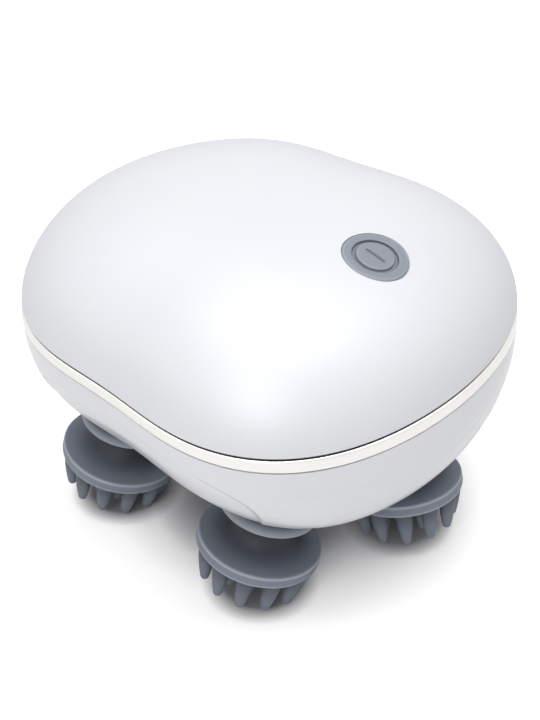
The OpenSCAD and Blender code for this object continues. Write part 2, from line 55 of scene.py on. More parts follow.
# %% [markdown]
# The camera stands where the photographer stood: a fit of the seam, the dome's outline and the button gave
# its direction and distance. A small lens shift keeps the object where it sits in the picture.

# %% Camera
AZIMUTH = math.radians(40.57)
ELEVATION = math.radians(37.43)
AIM = Vector((1.8, 0, 38.4)) * MM
DISTANCE = 344.4 * MM
SENSOR, LENS, LENS_SHIFT = 36, 66.23, (0.0065, 0.0380)

back = Vector((
    math.sin(AZIMUTH) * math.cos(ELEVATION),
    -math.cos(AZIMUTH) * math.cos(ELEVATION),
    math.sin(ELEVATION),
))
camera_data = bpy.data.cameras.new("camera")
camera_data.sensor_width = SENSOR
camera_data.lens = LENS
camera_data.shift_x, camera_data.shift_y = LENS_SHIFT
camera_data.clip_start = 0.01
camera = bpy.data.objects.new("camera", camera_data)
camera.location = AIM + back * DISTANCE
camera.rotation_euler = back.to_track_quat("Z", "Y").to_euler()
bpy.context.scene.collection.objects.link(camera)
bpy.context.scene.camera = camera
print("camera at", [round(v, 3) for v in camera.location])

# %% [markdown]
# Node trees are easier to read as sums than as boxes and wires. This class wraps one output socket, so that
# `wave * 0.5 + 1` adds the Math nodes by itself. The same class serves materials and Geometry Nodes.


# %% A socket that can be used in sums
class Socket:
    def __init__(self, net, socket):
        self.net = net
        self.socket = socket

    def maths(self, operation, *values):
        return self.net.add("ShaderNodeMath", {"operation": operation}, dict(enumerate(values)))

    def __add__(self, other):
        return self.maths("ADD", self, other)

    def __sub__(self, other):
        return self.maths("SUBTRACT", self, other)

    def __rsub__(self, other):
        return self.maths("SUBTRACT", other, self)

    def __mul__(self, other):
        return self.maths("MULTIPLY", self, other)

    def __truediv__(self, other):
        return self.maths("DIVIDE", self, other)

    def __pow__(self, other):
        return self.maths("POWER", self, other)

    __radd__ = __add__
    __rmul__ = __mul__

    def cos(self):
        return self.maths("COSINE", self)

    def sin(self):
        return self.maths("SINE", self)

    def clamp(self):
        return self.maths("MINIMUM", self.maths("MAXIMUM", self, 0.0), 1.0)


class Net:
    """One node tree. add() makes a node from its type, its settings and the values of its sockets."""

    def __init__(self, tree):
        self.tree = tree

    def add(self, kind, settings=None, inputs=None, output=0):
        node = self.tree.nodes.new(kind)
        for name, value in (settings or {}).items():
            setattr(node, name, value)
        for key, value in (inputs or {}).items():
            self.feed(node, key, value)
        return Socket(self, node.outputs[output])

    def feed(self, node, key, value):
        socket = node.inputs[key]
        if isinstance(value, Socket):
            self.tree.links.new(value.socket, socket)
        else:
            socket.default_value = value


# %% [markdown]
# Every finish starts from the same recipe: Object coordinates in metres, a colour, a roughness that wanders
# a little as handling and moulding leave it, and a fine bump. What differs is the scale and the strength.
# A Mix node has its sockets for colours at the places 6 and 7, and gives the mixed colour at place 2.

# %% A finish with grain
WANDER_SCALE = 60.0
CLOUD_SHARE, FINE_SHARE = 0.7, 0.3
BUMP_HEIGHT = 0.1 * MM


def colour_mix(net, share, dark, light):
    return net.add("ShaderNodeMix", {"data_type": "RGBA"}, {0: share, 6: dark, 7: light}, output=2)


def object_coordinates(net):
    return net.add("ShaderNodeTexCoord", output="Object")


def noise(net, scale, detail, stretch):
    moved = net.add("ShaderNodeMapping", {}, {"Vector": object_coordinates(net), "Scale": stretch})
    return net.add("ShaderNodeTexNoise", {}, {"Vector": moved, "Scale": scale, "Detail": detail})


def finish(
    name, colour, roughness, metallic=0.0, coat=0.0, coat_roughness=0.1, shade=0.04, wander=0.06,
    grain=2500.0, grain_depth=0.05, stretch=(1, 1, 1), specular=0.5, pattern=None,
):
    """A procedural material. pattern(net, colour) may lay something over the colour."""
    material = bpy.data.materials.new(name)
    material.use_nodes = True
    tree = material.node_tree
    tree.nodes.clear()
    net = Net(tree)
    cloud = noise(net, WANDER_SCALE, 3.0, stretch)
    fine = noise(net, grain, 2.0, stretch)
    dark = tuple(c * (1 - shade) for c in colour)
    light = tuple(min(1, c * (1 + shade)) for c in colour)
    base = colour_mix(net, cloud * CLOUD_SHARE + fine * FINE_SHARE, (*dark, 1), (*light, 1))
    if pattern:
        base = pattern(net, base)
    shader = net.add("ShaderNodeBsdfPrincipled", {}, {
        "Base Color": base,
        "Roughness": (cloud - 0.5) * (wander * 2) + (fine - 0.5) * wander + roughness,
        "Metallic": metallic,
        "Coat Weight": coat,
        "Coat Roughness": coat_roughness,
        "Specular IOR Level": specular,
        "Normal": net.add("ShaderNodeBump", {}, {
            "Strength": grain_depth, "Distance": BUMP_HEIGHT, "Height": fine}),
    })
    output = tree.nodes.new("ShaderNodeOutputMaterial")
    tree.links.new(shader.socket, output.inputs["Surface"])
    return material


# %% [markdown]
# The shells are moulded plastic. The cover has a satin pearl lacquer: almost white, a little silver, with a
# soft highlight. The lower housing is the same pearl under a clearer coat, so that it mirrors the room.
#
# Some painted shade and painted highlights follow the form, so they can't come from coordinates alone: a
# painted shade line round a grip panel, a painted highlight on the lip of the wall, painted shade in the
# throat of a head and painted highlights on its rims. The meshes carry numbers for these at their points,
# and the two patterns here read them. A mesh without such numbers gives 0, so nothing shows.

# %% Patterns that paint shade and highlights along the form
PANEL_LINE_AT, PANEL_LINE_WIDTH, PANEL_LINE_SHARE = 0.987, 0.014, 0.5
LIP_SHARE, THROAT_SHARE, RIM_SHARE = 0.8, 0.9, 0.85
# colours of the painted shade line at the panels, the painted lip highlight, the painted throat shade and
# the painted rim highlights
PANEL_LINE_PAINTED_SHADE, LIP_PAINTED_HIGHLIGHT = (0.42, 0.42, 0.45, 1), (0.97, 0.97, 0.98, 1)
THROAT_PAINTED_SHADE, RIM_PAINTED_HIGHLIGHT = (0.022, 0.026, 0.034, 1), (0.50, 0.53, 0.58, 1)


def carried(net, name):
    """A number that the mesh carries at its points."""
    return net.add("ShaderNodeAttribute", {"attribute_name": name}, output="Fac")


def painted_panel_shade_and_lip_highlight(net, base):
    """Paints a fine line of shade where a grip panel meets the lobe, and a highlight along the wall's lip.
    """
    off = carried(net, "panel") - PANEL_LINE_AT
    near = (1 - off.maths("ABSOLUTE", off) / PANEL_LINE_WIDTH).clamp()
    lined = colour_mix(net, near * PANEL_LINE_SHARE, base, PANEL_LINE_PAINTED_SHADE)
    return colour_mix(net, carried(net, "lip") * LIP_SHARE, lined, LIP_PAINTED_HIGHLIGHT)


def painted_shade_and_rim_highlights(net, base):
    """Paints shade into the silicone's colour in the throat of a head, and highlights along its rims."""
    deep = colour_mix(net, carried(net, "throat") * THROAT_SHARE, base, THROAT_PAINTED_SHADE)
    return colour_mix(net, carried(net, "rim") * RIM_SHARE, deep, RIM_PAINTED_HIGHLIGHT)


# %% Finishes of the shells, the band and the silicone
cover_pearl = finish("cover_pearl", (0.80, 0.815, 0.85), 0.46, 0.08, coat=0.05, coat_roughness=0.42,
                     shade=0.012, wander=0.02, grain=9000.0, grain_depth=0.03)
housing_pearl = finish("housing_pearl", (0.80, 0.81, 0.84), 0.22, 0.06, coat=0.25, coat_roughness=0.06,
                       shade=0.015, wander=0.02, grain=9000.0, grain_depth=0.02, pattern=painted_panel_shade_and_lip_highlight)
band_plating = finish("band_plating", (0.93, 0.915, 0.885), 0.16, 1.0, shade=0.02, wander=0.04,
                      stretch=(1, 1, 12), grain=1500.0, grain_depth=0.02)
head_silicone = finish("head_silicone", (0.23, 0.255, 0.31), 0.52, shade=0.05, wander=0.05,
                       grain=5000.0, grain_depth=0.08, specular=0.28, pattern=painted_shade_and_rim_highlights)
button_silicone = finish("button_silicone", (0.265, 0.29, 0.34), 0.48, shade=0.04, wander=0.05,
                         grain=6000.0, grain_depth=0.08, pattern=painted_shade_and_rim_highlights)
seal_rubber = finish("seal_rubber", (0.012, 0.012, 0.014), 0.6, shade=0.2, grain=4000.0, grain_depth=0.1)
finish("base_plastic", (0.66, 0.675, 0.71), 0.45, shade=0.02, wander=0.05, grain=4500.0, grain_depth=0.35)
print("finishes so far:", len(bpy.data.materials))

# %% [markdown]
# The inside parts are seen when the cover comes off: brass bushes, ground pins, moulded gears, a wrapped
# cell and two circuit boards. The boards get a pattern of copper tracks under their green lacquer.


# %% Finishes of the inside parts
TRACK_SCALE, TRACK_SLOPE, TRACK_WIDTH, TRACK_SHARE = 420.0, -40.0, 3.0, 0.35
STRIPE_AT, STRIPE_HALF = 0.018, 0.0022


def copper_tracks(net, base):
    cells = net.add("ShaderNodeTexVoronoi", {"feature": "DISTANCE_TO_EDGE", "distance": "MANHATTAN"},
                    {"Vector": object_coordinates(net), "Scale": TRACK_SCALE})
    track = (cells * TRACK_SLOPE + TRACK_WIDTH).clamp()
    return colour_mix(net, track * TRACK_SHARE, base, (0.30, 0.42, 0.16, 1))


def wrap_stripe(net, base):
    place = net.add("ShaderNodeSeparateXYZ", {}, {0: object_coordinates(net)}, output="Y")
    stripe = place.maths("COMPARE", place, STRIPE_AT, STRIPE_HALF)
    return colour_mix(net, stripe, base, (0.82, 0.83, 0.84, 1))


finish("screw_steel", (0.48, 0.49, 0.51), 0.3, 1.0, shade=0.05, grain=6000.0, grain_depth=0.1)
finish("bush_brass", (0.72, 0.52, 0.24), 0.28, 1.0, shade=0.06, stretch=(1, 1, 14))
finish("pin_steel", (0.62, 0.63, 0.65), 0.2, 1.0, shade=0.04, stretch=(1, 1, 20))
finish("motor_steel", (0.55, 0.56, 0.58), 0.34, 1.0, shade=0.06, stretch=(9, 9, 1), grain=1500.0)
finish("socket_steel", (0.60, 0.61, 0.63), 0.25, 1.0, shade=0.05, stretch=(1, 1, 6), grain=3000.0)
finish("gear_plastic", (0.76, 0.73, 0.64), 0.42, shade=0.04, grain=3500.0, grain_depth=0.12)
finish("plate_plastic", (0.09, 0.10, 0.12), 0.5, shade=0.12, grain=3000.0, grain_depth=0.3)
finish("switch_plastic", (0.02, 0.02, 0.022), 0.4, shade=0.2, grain=3500.0, grain_depth=0.15)
finish("core_plastic", (0.055, 0.06, 0.075), 0.5, shade=0.12, grain=3000.0, grain_depth=0.2)
finish("board_laminate", (0.02, 0.13, 0.055), 0.3, shade=0.1, coat=0.4, pattern=copper_tracks)
finish("battery_wrap", (0.06, 0.22, 0.42), 0.32, shade=0.06, coat=0.3, grain=1800.0, pattern=wrap_stripe)
print("finishes in all:", len(bpy.data.materials))

# %% [markdown]
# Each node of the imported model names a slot, and each slot has a finish of the same name.

# %% Give each node its finish
FINISHES = {m.name: m for m in bpy.data.materials}
for part in frame["record"]["subparts"]:
    node = frame["nodes"][part["node"]]
    node.data.materials.clear()
    node.data.materials.append(FINISHES[part["material_slot"]])

# %% [markdown]
# The plan of the body is a rounded rectangle written as a few cosines around the middle of the drive. The
# wall below the seam bulges a little at the two ends and is scooped in at the two waists. The cells below
# use the same rule as the solid model, with many more points, so that the gloss runs smoothly.

# %% The rule of the body
MEAN, OVAL, NOSE, CORNER, END = 58.5, 3.4, 1.8, 2.4, 0.5
DRIVE_X = NOSE
SEAM_Z, DOME_RISE, FULLNESS, POWER = 66.8, 27.1, 3.27, 0.58
COVER_GAP = 0.1
COVER_Z = SEAM_Z + COVER_GAP
GASKET_Z, BAND_Z, SKIRT_Z = 66.3, 63.1, 35.0
WALL = 2.2
SCOOP, SCOOP_REACH, SCOOP_POWER, SCOOP_DROP = 0.3, 54.8, 2.72, 2.53
TUCK, TUCK_DROP = 0.054, 9.2
END_BULGE = 0.116


def plan_radius(angle):
    return (MEAN + OVAL * np.cos(2 * angle) - NOSE * np.cos(3 * angle) - CORNER * np.cos(4 * angle)
            + END * np.cos(6 * angle))


def drop_at(z):
    """How far down the wall a height lies: 0 at the seam, 1 at the bottom lip."""
    return np.clip((SEAM_Z - z) / (SEAM_Z - SKIRT_Z), 0, 1)


def stretch_at(z):
    """How much longer the body is at a height than its plan."""
    return 1 + END_BULGE * drop_at(z) * (1 - drop_at(z))


def wall_point(angle, z, inset):
    """Points of the lower housing's wall, inset millimetres under its outer surface."""
    drop = drop_at(z)
    r = plan_radius(angle)
    scoop = SCOOP * np.exp(-(np.abs(r * np.cos(angle)) / SCOOP_REACH) ** SCOOP_POWER)
    r = r * (1 - TUCK * drop ** TUCK_DROP - scoop * drop ** SCOOP_DROP) - inset
    return np.stack([DRIVE_X + r * np.cos(angle) * stretch_at(z), r * np.sin(angle), z + 0 * r], -1)


def dome_height(share):
    return DOME_RISE * np.clip(1 - share ** FULLNESS, 0, 1) ** POWER


print("length and width at the seam:", round(plan_radius(0.0) + plan_radius(math.pi), 1),
      round(2 * plan_radius(math.pi / 2), 1), "mm")

# %% [markdown]
# A few small helpers make most meshes. One turns rings of points into quads, one spins a half section about
# an axis, and one makes the object and closes what is open. Others give its points numbers for the
# patterns, and hand it to a body of the mechanism.


# %% Mesh helpers
WELD = 0.001 * MM


def skin(rings, closed=False, flip=False):
    """Quads between rings with the same number of points. Points come back in millimetres."""
    count = len(rings[0])
    points = np.concatenate(rings)
    bands = len(rings) if closed else len(rings) - 1
    faces = []
    for k in range(bands):
        low, high = k * count, (k + 1) % len(rings) * count
        for i in range(count):
            j = (i + 1) % count
            face = (low + i, low + j, high + j, high + i)
            faces.append(face[::-1] if flip else face)
    return points, faces


def lathe(section, steps=96):
    """Spins (radius, height) pairs about the vertical axis. A radius of 0 closes the end with one point."""
    angles = np.arange(steps) * 2 * math.pi / steps
    rings = [np.stack([r * np.cos(angles), r * np.sin(angles), z + 0 * angles], -1) for r, z in section]
    return skin(rings)


def piece(name, points, faces, material, matrix=None, close=None):
    """Makes an object. Where a mesh is open, close="cap" covers each hole and "bridge" joins two edges."""
    mesh = bpy.data.meshes.new(name)
    mesh.from_pydata((np.asarray(points) * MM).tolist(), [], faces)
    if matrix:
        mesh.transform(matrix)
    shaper = bmesh.new()
    shaper.from_mesh(mesh)
    bmesh.ops.remove_doubles(shaper, verts=shaper.verts, dist=WELD)
    bmesh.ops.delete(shaper, geom=[v for v in shaper.verts if not v.link_faces], context="VERTS")
    rims = [e for e in shaper.edges if len(e.link_faces) == 1]
    if close == "cap":
        bmesh.ops.holes_fill(shaper, edges=rims)
    elif close == "bridge":
        bmesh.ops.bridge_loops(shaper, edges=rims)
    bmesh.ops.recalc_face_normals(shaper, faces=shaper.faces)
    shaper.to_mesh(mesh)
    shaper.free()
    mesh.shade_smooth()
    mesh.materials.append(material)
    thing = bpy.data.objects.new(name, mesh)
    bpy.context.scene.collection.objects.link(thing)
    print(f"{name}: {len(mesh.polygons)} faces")
    return thing


def vertices_of(thing, from_matrix=None):
    """x, y and z of an object's points in millimetres, if asked in the coordinates of a placing matrix."""
    back_to = from_matrix.inverted() if from_matrix else Matrix()
    return np.array([back_to @ v.co for v in thing.data.vertices]).T / MM


def mark(thing, **values_by_name):
    """Gives the points of a mesh named numbers: one for all of them, or one for each."""
    for name, values in values_by_name.items():
        layer = thing.data.attributes.new(name, "FLOAT", "POINT")
        layer.data.foreach_set("value", np.full(len(thing.data.vertices), values, dtype=np.float32))


def settle(thing, body, slot, *nodes):
    """The piece rides on a body and stands for the nodes. The slot is not used."""
    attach(thing, body)
    if nodes:
        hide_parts(*nodes)


def sharpen(thing, degrees):
    """Edges above the angle stay crisp, the rest is shaded smooth."""
    mesh = thing.data
    shaper = bmesh.new()
    shaper.from_mesh(mesh)
    for edge in shaper.edges:
        edge.smooth = not (len(edge.link_faces) == 2 and edge.calc_face_angle(0) > math.radians(degrees))
    shaper.to_mesh(mesh)
    shaper.free()
    return thing


def ease(x):
    """Rises softly from 0 to 1 while x does."""
    x = np.clip(x, 0, 1)
    return x * x * (3 - 2 * x)


def soft_line(distance, width):
    """1 on a line and falling off softly on both sides of it."""
    return np.exp(-(distance / width) ** 2)


def sunken(gap, softness):
    """1 inside an outline and 0 outside it, with a soft edge. gap is the distance to the outline."""
    return 1 / (1 + np.exp(gap / softness))


def stadium_distance(y, z, width, height):
    """Distance to a slot with round ends, negative inside, and the nearest point of its outline."""
    half = (width - height) / 2
    middle = np.clip(y, -half, half)
    dy, dz = y - middle, z
    away = np.maximum(np.hypot(dy, dz), 1e-9)
    return away - height / 2, middle + dy / away * height / 2, dz / away * height / 2


# %% [markdown]
# ## The domed cover
# On the real object this is one thin moulded shell with a round hole for the button. A grid drawn from the
# hole out to the rim keeps the hole perfectly round and leaves no seam in the gloss. Each point only needs
# to know its direction from the drive axis and its share of the way to the rim. A small Geometry Nodes tree
# then lifts the flat points to the dome, so the rise and the fullness can be changed in one place.

# %% Lay out the cover's points around the button
BUTTON_X, BUTTON_R, BUTTON_GAP = 32.4, 7.8, 0.16
SHARE_STEP = 0.01
COLUMNS, RINGS, RING_EASE = 336, 84, 2.4
FAR_OUT, HALVINGS = 130.0, 40

button_share = BUTTON_X / plan_radius(0.0)
fall = dome_height(button_share - SHARE_STEP) - dome_height(button_share + SHARE_STEP)
BUTTON_LEAN = math.atan(fall / (2 * (SHARE_STEP * plan_radius(0.0))))
BUTTON_AT = np.array([DRIVE_X + BUTTON_X, 0, SEAM_Z + dome_height(button_share) + COVER_GAP])


def polar(x, y):
    """Direction and share of the way to the rim, for points given from the drive axis."""
    angle = np.arctan2(y, x)
    return angle, np.hypot(x, y) / plan_radius(angle)


def rim_reach(direction):
    """Distance from the button's middle to the rim, in each direction."""
    low, high = np.zeros_like(direction), np.full_like(direction, FAR_OUT)
    for _ in range(HALVINGS):
        middle = (low + high) / 2
        inside = polar(BUTTON_X + middle * np.cos(direction), middle * np.sin(direction))[1] < 1
        low, high = np.where(inside, middle, low), np.where(inside, high, middle)
    return low


directions = np.arange(COLUMNS) * 2 * math.pi / COLUMNS
hole_r = BUTTON_R + BUTTON_GAP
hole_x = hole_r * math.cos(BUTTON_LEAN) * np.cos(directions)
hole_y = hole_r * np.sin(directions)
hole_s, hole_way = np.hypot(hole_x, hole_y), np.arctan2(hole_y, hole_x)
reach = rim_reach(hole_way)
angle_rings, share_rings = [], []
for k in range(RINGS + 1):
    way = 1 - (1 - k / RINGS) ** RING_EASE
    s = hole_s + (reach - hole_s) * way
    angle, share = polar(BUTTON_X + s * np.cos(hole_way), s * np.sin(hole_way))
    angle_rings.append(angle)
    share_rings.append(np.where(k == RINGS, 1.0, share))
print("cover grid:", COLUMNS, "by", RINGS, "button leans", round(math.degrees(BUTTON_LEAN), 2), "degrees")


# %% The tree that lifts the cover
COVER_MARKS = ("plan_angle", "plan_share", "inner_side")


def read_mark(net, name):
    return net.add("GeometryNodeInputNamedAttribute", {"data_type": "FLOAT"}, {"Name": name})


def dome_tree():
    tree = bpy.data.node_groups.new("lift_cover", "GeometryNodeTree")
    face = tree.interface
    face.new_socket("Geometry", in_out="INPUT", socket_type="NodeSocketGeometry")
    for label in ("Mean radius", "Oval", "Nose", "Corner", "End", "Rise", "Fullness", "Power", "Wall"):
        face.new_socket(label, in_out="INPUT", socket_type="NodeSocketFloat")
    face.new_socket("Finish", in_out="INPUT", socket_type="NodeSocketMaterial")
    face.new_socket("Geometry", in_out="OUTPUT", socket_type="NodeSocketGeometry")
    net = Net(tree)
    given = tree.nodes.new("NodeGroupInput")
    take = {s.name: Socket(net, s) for s in given.outputs if s.name}
    angle, share, inner = (read_mark(net, name) for name in COVER_MARKS)
    radius = (take["Mean radius"] + take["Oval"] * (angle * 2.0).cos() - take["Nose"] * (angle * 3.0).cos()
              - take["Corner"] * (angle * 4.0).cos() + take["End"] * (angle * 6.0).cos())
    reach_out = (radius - take["Wall"] * inner) * share
    lift = (take["Rise"] - take["Wall"] * inner) * (1 - share ** take["Fullness"]).clamp() ** take["Power"]
    place = net.add("ShaderNodeCombineXYZ", {}, {
        0: reach_out * angle.cos() * MM + DRIVE_X * MM,
        1: reach_out * angle.sin() * MM,
        2: lift * MM + COVER_Z * MM,
    })
    moved = net.add("GeometryNodeSetPosition", {}, {"Geometry": take["Geometry"], "Position": place})
    dressed = net.add("GeometryNodeSetMaterial", {}, {"Geometry": moved, "Material": take["Finish"]})
    out = tree.nodes.new("NodeGroupOutput")
    tree.links.new(dressed.socket, out.inputs[0])
    return tree


def run_tree(thing, tree, values):
    """Puts the tree on a piece with its inputs set, and turns the result into a plain mesh."""
    modifier = thing.modifiers.new(tree.name, "NODES")
    modifier.node_group = tree
    for item in tree.interface.items_tree:
        if item.in_out == "INPUT" and item.name in values:
            modifier[item.identifier] = values[item.name]
    bpy.context.view_layer.update()
    seen = thing.evaluated_get(bpy.context.evaluated_depsgraph_get())
    mesh = bpy.data.meshes.new_from_object(seen)
    thing.modifiers.remove(modifier)
    thing.data = mesh


# %% [markdown]
# The cover's rows run from the hole out to the rim on the outer side, and back to the hole on the inner
# side, where every third row is enough. The last row joins the first, and that makes the wall of the hole.

# %% Make the cover
rows = list(range(RINGS + 1)) + list(range(RINGS, -1, -3))
cover_angle = np.concatenate([angle_rings[k] for k in rows])
cover_share = np.concatenate([share_rings[k] for k in rows])
_, cover_faces = skin([np.zeros((COLUMNS, 3))] * len(rows), closed=True, flip=True)
cover_mesh = bpy.data.meshes.new("domed_cover")
cover_mesh.from_pydata([(0, 0, 0)] * len(cover_angle), [], cover_faces)
domed_cover = bpy.data.objects.new("domed_cover", cover_mesh)
bpy.context.scene.collection.objects.link(domed_cover)
is_inner = np.arange(len(cover_angle)) >= (RINGS + 1) * COLUMNS
mark(domed_cover, plan_angle=cover_angle, plan_share=cover_share, inner_side=is_inner)
run_tree(domed_cover, dome_tree(), {
    "Mean radius": MEAN, "Oval": OVAL, "Nose": NOSE, "Corner": CORNER, "End": END, "Rise": DOME_RISE,
    "Fullness": FULLNESS, "Power": POWER, "Wall": WALL, "Finish": cover_pearl,
})
for name in COVER_MARKS:
    domed_cover.data.attributes.remove(domed_cover.data.attributes[name])
domed_cover.data.shade_smooth()
settle(sharpen(domed_cover, 40), "housing", "cover_pearl", "top_cover")
print("cover faces:", len(domed_cover.data.polygons))
print("cover's top at", round(vertices_of(domed_cover)[2].max(), 2), "mm")

# %% [markdown]
# ## Seam, band and lower housing
# Three rings follow the same plan. A dark gasket makes the thin line under the cover, the plated band has
# softly rounded edges that catch the light, and the pearl wall falls away below it to a crisp bottom lip.

# %% Sweep a section around the plan: gasket and band
AROUND = 640
GASKET_INSET, GASKET_TUCK = 0.5, 0.62
BAND_TOP = GASKET_Z - 0.12
BAND_FACE, BAND_TOP_ROUND, BAND_LOW_ROUND = -0.07, 0.4, 0.35
around = np.arange(AROUND) * 2 * math.pi / AROUND


def sweep(section):
    """section lists (height, inset) pairs, from the outside round to the inside."""
    return [wall_point(around, z, inset) for z, inset in section]


def arc(z, inset, radius, start, stop, steps=5):
    """Points of a rounded edge in the section's own plane, angles in degrees from straight outwards."""
    turns = np.radians(np.linspace(start, stop, steps))
    return [(z + radius * math.sin(a), inset - radius * math.cos(a)) for a in turns]


gasket_section = [
    (COVER_Z, GASKET_TUCK), (COVER_Z - 0.1, GASKET_INSET), (GASKET_Z, GASKET_INSET),
    (GASKET_Z - 0.1, GASKET_TUCK), (GASKET_Z - 0.1, WALL), (COVER_Z, WALL)]
gasket_line = piece("gasket_line", *skin(sweep(gasket_section), closed=True), seal_rubber)
settle(sharpen(gasket_line, 40), "housing", "seal_rubber", "cover_gasket")

band_section = [(BAND_TOP, WALL), (BAND_TOP, 0.5)]
band_section += arc(BAND_TOP - BAND_TOP_ROUND, 0.33, BAND_TOP_ROUND, 90, 20)
band_section += [(BAND_TOP - 1.0, BAND_FACE), (BAND_Z + 0.9, BAND_FACE)]
band_section += arc(BAND_Z + BAND_LOW_ROUND, 0.28, BAND_LOW_ROUND, -5, -90)
band_section += [(BAND_Z, 0.6), (BAND_Z, WALL)]
plated_band = piece("plated_band", *skin(sweep(band_section), closed=True), band_plating)
settle(sharpen(plated_band, 35), "housing", "band_plating", "trim_band")

# %% [markdown]
# Each waist is a grip panel, let into the wall by half a millimetre. Its outline is a rounded square that
# reaches down past the lip. The step is crisp low down and fades out towards the top, and on the lobes a
# shallow shoulder runs round at almost the same height.

# %% The grip panels
PANEL_HALF, PANEL_TOP, PANEL_POWER = 39.5, 58.0, 3.7
PANEL_SIZE, STEP_WIDTH = 25, 0.6
STEP_FAINT, STEP_MORE, STEP_TOP, STEP_FADE = 0.06, 0.5, 55.5, 8
SHOULDER_Z, SHOULDER_DEPTH, SHOULDER_WIDTH, SHOULDER_BLEND = 55.3, 0.07, 0.5, 4


def panel_edge(angle, z):
    """Degrees off the waist, and how far out in its panel a point lies: 0 in the middle, 1 at the edge."""
    off_waist = np.abs(np.abs(np.degrees(np.arctan2(np.sin(angle), np.cos(angle)))) - 90)
    height = np.clip((z - SKIRT_Z) / (PANEL_TOP - SKIRT_Z), 0, 2)
    edge = ((off_waist / PANEL_HALF) ** PANEL_POWER + height ** PANEL_POWER) ** (1 / PANEL_POWER)
    return off_waist, edge


def panel_inset(angle, z):
    """How deep the panel or the shoulder lies under the plain wall, in millimetres."""
    off_waist, edge = panel_edge(angle, z)
    depth = STEP_FAINT + STEP_MORE * ease((STEP_TOP - z) / STEP_FADE)
    shoulder = ease((SHOULDER_Z - z) / SHOULDER_WIDTH) * ease((off_waist - PANEL_HALF) / SHOULDER_BLEND)
    return depth * ease((1 - edge) * PANEL_SIZE / STEP_WIDTH) + SHOULDER_DEPTH * shoulder


print("panel depth near the front edge:", round(float(panel_inset(np.radians(-70.0), 42.0)), 2), "mm")

# %% [markdown]
# The charging port needs a slot through the wall at the end. The grid is dense enough to be cut cell by
# cell: cells inside the slot's outline go, and the points left on the edge move onto the outline.

# %% The outer side of the wall, with the port's slot
PORT_X, PORT_Z, PORT_W, PORT_H, PORT_RIM = -40, 52.2, 13.0, 7.0, 0.6
HOUSING_TOP = BAND_Z - 0.32
SET_BACK, LIP_ROUND = 0.15, 0.35
WALL_ROWS, PORT_STEPS = 104, 6


def port_distance(points):
    """Distance to the slot's outline and the outline's nearest point, for the port's end of the body."""
    gap, near_y, near_z = stadium_distance(points[:, 1], points[:, 2] - PORT_Z, PORT_W, PORT_H)
    return np.where(points[:, 0] < PORT_X, gap, np.inf), near_y, near_z + PORT_Z


outer_z = HOUSING_TOP + (SKIRT_Z + LIP_ROUND - HOUSING_TOP) * np.linspace(0, 1, WALL_ROWS)
outer_rings = [wall_point(around, z, SET_BACK + panel_inset(around, z)) for z in outer_z]
wall_points, wall_faces = skin(outer_rings)
gap, near_y, near_z = port_distance(wall_points)
in_slot = [(gap[list(f)] < 0).sum() >= 2 for f in wall_faces]
kept_faces = [f for f, is_cut in zip(wall_faces, in_slot) if not is_cut]
cut_faces = [f for f, is_cut in zip(wall_faces, in_slot) if is_cut]
slot_edge = sorted(set(i for f in kept_faces for i in f) & set(i for f in cut_faces for i in f))
for i in slot_edge:
    y, z = near_y[i], near_z[i]
    to_end = wall_points[i, 0] - DRIVE_X
    angle = math.atan2(y, to_end)
    for _ in range(PORT_STEPS):
        angle += (y - wall_point(np.array(angle), z, SET_BACK)[1]) / to_end
    wall_points[i] = wall_point(np.array(angle), z, SET_BACK)
print("cells cut for the port:", len(cut_faces))

# %% [markdown]
# Below the wall come its lip and a small flange, then the inner side up to the band. A short tube joins the
# slot's outline to the inner side.

# %% The rest of the lower housing
SKIRT_T = 1.6
FLANGE_Z, FLANGE_TOP, FLANGE_IN = 39.0, 40.4, SKIRT_T + 2
INNER_Z, INNER_ROWS = 40.6, 14


def skirt_ring(z, inset):
    """A ring that keeps the plan of the bottom lip at any height."""
    return wall_point(around, np.array(SKIRT_Z), inset) + [0, 0, z - SKIRT_Z]


lip_inset = panel_inset(around, SKIRT_Z + LIP_ROUND)
lip_rings = [skirt_ring(SKIRT_Z + 0.1, 0.22 + lip_inset), skirt_ring(SKIRT_Z, 0.5 + lip_inset)]
flange_rings = [skirt_ring(z, inset) for z, inset in (
    (SKIRT_Z, SKIRT_T - 0.2), (SKIRT_Z + 0.15, SKIRT_T), (FLANGE_Z, SKIRT_T), (FLANGE_Z, FLANGE_IN),
    (FLANGE_TOP, FLANGE_IN))]
inner_rings = [wall_point(around, z, WALL) for z in np.linspace(INNER_Z, BAND_Z - 0.05, INNER_ROWS)]
top_rings = [wall_point(around, HOUSING_TOP - down, inset) for down, inset in (
    (0.1, 1.0), (0.02, 0.5), (0, 0.3))]
more_points, more_faces = skin(
    [outer_rings[-1]] + lip_rings + flange_rings + inner_rings + top_rings + [outer_rings[0]])
by_port = port_distance(more_points)[0] < PORT_RIM

first, tube = len(wall_points), len(wall_points) + len(more_points)
all_faces = kept_faces + [tuple(first + i for i in f) for f in more_faces if not by_port[list(f)].any()]
cut_sides = {frozenset(side) for f in cut_faces for side in zip(f, f[1:] + f[:1])}
slot_sides = [side for f in kept_faces for side in zip(f, f[1:] + f[:1]) if frozenset(side) in cut_sides]
deep = {i: tube + k for k, i in enumerate(slot_edge)}
all_faces += [(b, a, deep[a], deep[b]) for a, b in slot_sides]
all_points = np.concatenate([wall_points, more_points, wall_points[slot_edge] + [WALL, 0, 0]])
pearl_housing = piece("pearl_housing", all_points, all_faces, housing_pearl, close="bridge")

# %% Mark the panels' outline for a painted shade line and the lip for a painted highlight, for the pearl's finish
LINE_TOP, MIDDLE_OF_PANEL = 56.5, 0.5
LIP_TOP, LIP_SOFT = SKIRT_Z + 0.55, 0.25

x, y, z = vertices_of(pearl_housing)
edge = panel_edge(np.arctan2(y, (x - DRIVE_X) / stretch_at(z)), z)[1]
